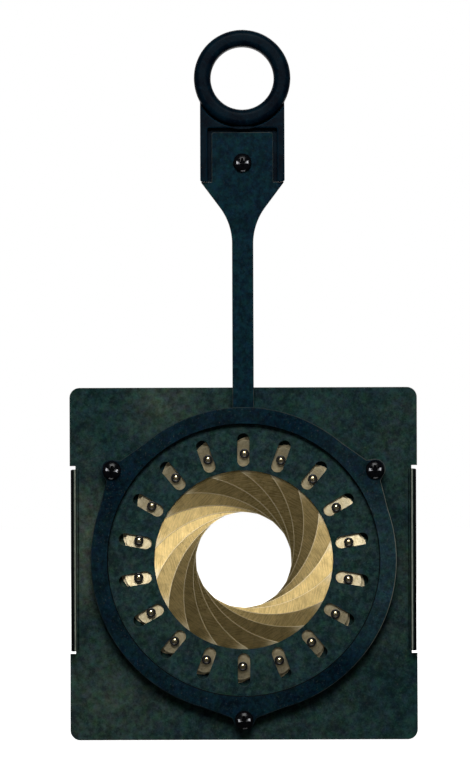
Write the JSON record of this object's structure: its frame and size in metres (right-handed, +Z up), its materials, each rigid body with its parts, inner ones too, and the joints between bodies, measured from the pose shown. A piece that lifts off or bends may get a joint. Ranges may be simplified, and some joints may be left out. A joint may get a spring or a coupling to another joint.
{
  "type": "iris diaphragm",
  "caption": "Drop-in iris diaphragm: bronze leaves between a square carrier plate and a slotted cam ring, turned by a long lever with a moulded finger ring.",
  "frame": {"origin": "on the optical axis, in the front face of the carrier plate", "axes": "+Z up along the lever to the finger ring, -Y out of the front, where the cam ring and the housing are, +X to the right seen from the front"},
  "size_m": [0.1524, 0.0162, 0.311],
  "materials": {
    "carrier": "worn blue-green black paint on steel",
    "housing": "worn blue-black paint on steel",
    "cam": "worn blue-green black paint on steel",
    "lever": "worn blue-green black paint on steel",
    "leaf": "tarnished bronze sheet",
    "stud": "dull steel",
    "screw": "black oxide",
    "nut": "dull zinc",
    "handle": "moulded black plastic"
  },
  "bodies": {
    "carrier": {"carrier_plate": "carrier", "housing_ring": "housing", "lip_rivet": "screw", "housing_spacers": "housing", "housing_screws": "screw", "housing_nuts": "nut"},
    "cam": {"cam_ring": "cam", "lever": "lever", "lever_rivets": "screw", "handle": "handle", "handle_screw": "screw", "handle_nut": "nut"},
    "leaf_body_01": {"leaf_01": "leaf", "leaf_studs_01": "stud"},
    "leaf_body_02": {"leaf_02": "leaf", "leaf_studs_02": "stud"},
    "leaf_body_03": {"leaf_03": "leaf", "leaf_studs_03": "stud"},
    "leaf_body_04": {"leaf_04": "leaf", "leaf_studs_04": "stud"},
    "leaf_body_05": {"leaf_05": "leaf", "leaf_studs_05": "stud"},
    "leaf_body_06": {"leaf_06": "leaf", "leaf_studs_06": "stud"},
    "leaf_body_07": {"leaf_07": "leaf", "leaf_studs_07": "stud"},
    "leaf_body_08": {"leaf_08": "leaf", "leaf_studs_08": "stud"},
    "leaf_body_09": {"leaf_09": "leaf", "leaf_studs_09": "stud"},
    "leaf_body_10": {"leaf_10": "leaf", "leaf_studs_10": "stud"},
    "leaf_body_11": {"leaf_11": "leaf", "leaf_studs_11": "stud"},
    "leaf_body_12": {"leaf_12": "leaf", "leaf_studs_12": "stud"},
    "leaf_body_13": {"leaf_13": "leaf", "leaf_studs_13": "stud"},
    "leaf_body_14": {"leaf_14": "leaf", "leaf_studs_14": "stud"},
    "leaf_body_15": {"leaf_15": "leaf", "leaf_studs_15": "stud"},
    "leaf_body_16": {"leaf_16": "leaf", "leaf_studs_16": "stud"},
    "leaf_body_17": {"leaf_17": "leaf", "leaf_studs_17": "stud"},
    "leaf_body_18": {"leaf_18": "leaf", "leaf_studs_18": "stud"}
  },
  "joints": [
    {"name": "lever_swing", "type": "hinge", "parent": "carrier", "child": "cam", "pos_m": [0, 0, 0], "axis": [0, -1, 0], "range_deg": [-43.4, 34.6]},
    {"name": "leaf_pivot_01", "type": "hinge", "parent": "carrier", "child": "leaf_body_01", "pos_m": [-0.04948, 0, -0.0072], "axis": [0, -1, 0], "range_deg": [-21.7, 17.3]},
    {"name": "leaf_pivot_02", "type": "hinge", "parent": "carrier", "child": "leaf_body_02", "pos_m": [-0.04403, 0, -0.02369], "axis": [0, -1, 0], "range_deg": [-21.7, 17.3]},
    {"name": "leaf_pivot_03", "type": "hinge", "parent": "carrier", "child": "leaf_body_03", "pos_m": [-0.03327, 0, -0.03732], "axis": [0, -1, 0], "range_deg": [-21.7, 17.3]},
    {"name": "leaf_pivot_04", "type": "hinge", "parent": "carrier", "child": "leaf_body_04", "pos_m": [-0.0185, 0, -0.04645], "axis": [0, -1, 0], "range_deg": [-21.7, 17.3]},
    {"name": "leaf_pivot_05", "type": "hinge", "parent": "carrier", "child": "leaf_body_05", "pos_m": [-0.0015, 0, -0.04998], "axis": [0, -1, 0], "range_deg": [-21.7, 17.3]},
    {"name": "leaf_pivot_06", "type": "hinge", "parent": "carrier", "child": "leaf_body_06", "pos_m": [0.01568, 0, -0.04748], "axis": [0, -1, 0], "range_deg": [-21.7, 17.3]},
    {"name": "leaf_pivot_07", "type": "hinge", "parent": "carrier", "child": "leaf_body_07", "pos_m": [0.03097, 0, -0.03925], "axis": [0, -1, 0], "range_deg": [-21.7, 17.3]},
    {"name": "leaf_pivot_08", "type": "hinge", "parent": "carrier", "child": "leaf_body_08", "pos_m": [0.04253, 0, -0.02629], "axis": [0, -1, 0], "range_deg": [-21.7, 17.3]},
    {"name": "leaf_pivot_09", "type": "hinge", "parent": "carrier", "child": "leaf_body_09", "pos_m": [0.04896, 0, -0.01016], "axis": [0, -1, 0], "range_deg": [-21.7, 17.3]},
    {"name": "leaf_pivot_10", "type": "hinge", "parent": "carrier", "child": "leaf_body_10", "pos_m": [0.04948, 0, 0.0072], "axis": [0, -1, 0], "range_deg": [-21.7, 17.3]},
    {"name": "leaf_pivot_11", "type": "hinge", "parent": "carrier", "child": "leaf_body_11", "pos_m": [0.04403, 0, 0.02369], "axis": [0, -1, 0], "range_deg": [-21.7, 17.3]},
    {"name": "leaf_pivot_12", "type": "hinge", "parent": "carrier", "child": "leaf_body_12", "pos_m": [0.03327, 0, 0.03732], "axis": [0, -1, 0], "range_deg": [-21.7, 17.3]},
    {"name": "leaf_pivot_13", "type": "hinge", "parent": "carrier", "child": "leaf_body_13", "pos_m": [0.0185, 0, 0.04645], "axis": [0, -1, 0], "range_deg": [-21.7, 17.3]},
    {"name": "leaf_pivot_14", "type": "hinge", "parent": "carrier", "child": "leaf_body_14", "pos_m": [0.0015, 0, 0.04998], "axis": [0, -1, 0], "range_deg": [-21.7, 17.3]},
    {"name": "leaf_pivot_15", "type": "hinge", "parent": "carrier", "child": "leaf_body_15", "pos_m": [-0.01568, 0, 0.04748], "axis": [0, -1, 0], "range_deg": [-21.7, 17.3]},
    {"name": "leaf_pivot_16", "type": "hinge", "parent": "carrier", "child": "leaf_body_16", "pos_m": [-0.03097, 0, 0.03925], "axis": [0, -1, 0], "range_deg": [-21.7, 17.3]},
    {"name": "leaf_pivot_17", "type": "hinge", "parent": "carrier", "child": "leaf_body_17", "pos_m": [-0.04253, 0, 0.02629], "axis": [0, -1, 0], "range_deg": [-21.7, 17.3]},
    {"name": "leaf_pivot_18", "type": "hinge", "parent": "carrier", "child": "leaf_body_18", "pos_m": [-0.04896, 0, 0.01016], "axis": [0, -1, 0], "range_deg": [-21.7, 17.3]}
  ],
  "couplings": [
    {"joint": "leaf_pivot_01", "follows": "lever_swing", "ratio": 0.5},
    {"joint": "leaf_pivot_02", "follows": "lever_swing", "ratio": 0.5},
    {"joint": "leaf_pivot_03", "follows": "lever_swing", "ratio": 0.5},
    {"joint": "leaf_pivot_04", "follows": "lever_swing", "ratio": 0.5},
    {"joint": "leaf_pivot_05", "follows": "lever_swing", "ratio": 0.5},
    {"joint": "leaf_pivot_06", "follows": "lever_swing", "ratio": 0.5},
    {"joint": "leaf_pivot_07", "follows": "lever_swing", "ratio": 0.5},
    {"joint": "leaf_pivot_08", "follows": "lever_swing", "ratio": 0.5},
    {"joint": "leaf_pivot_09", "follows": "lever_swing", "ratio": 0.5},
    {"joint": "leaf_pivot_10", "follows": "lever_swing", "ratio": 0.5},
    {"joint": "leaf_pivot_11", "follows": "lever_swing", "ratio": 0.5},
    {"joint": "leaf_pivot_12", "follows": "lever_swing", "ratio": 0.5},
    {"joint": "leaf_pivot_13", "follows": "lever_swing", "ratio": 0.5},
    {"joint": "leaf_pivot_14", "follows": "lever_swing", "ratio": 0.5},
    {"joint": "leaf_pivot_15", "follows": "lever_swing", "ratio": 0.5},
    {"joint": "leaf_pivot_16", "follows": "lever_swing", "ratio": 0.5},
    {"joint": "leaf_pivot_17", "follows": "lever_swing", "ratio": 0.5},
    {"joint": "leaf_pivot_18", "follows": "lever_swing", "ratio": 0.5}
  ]
}
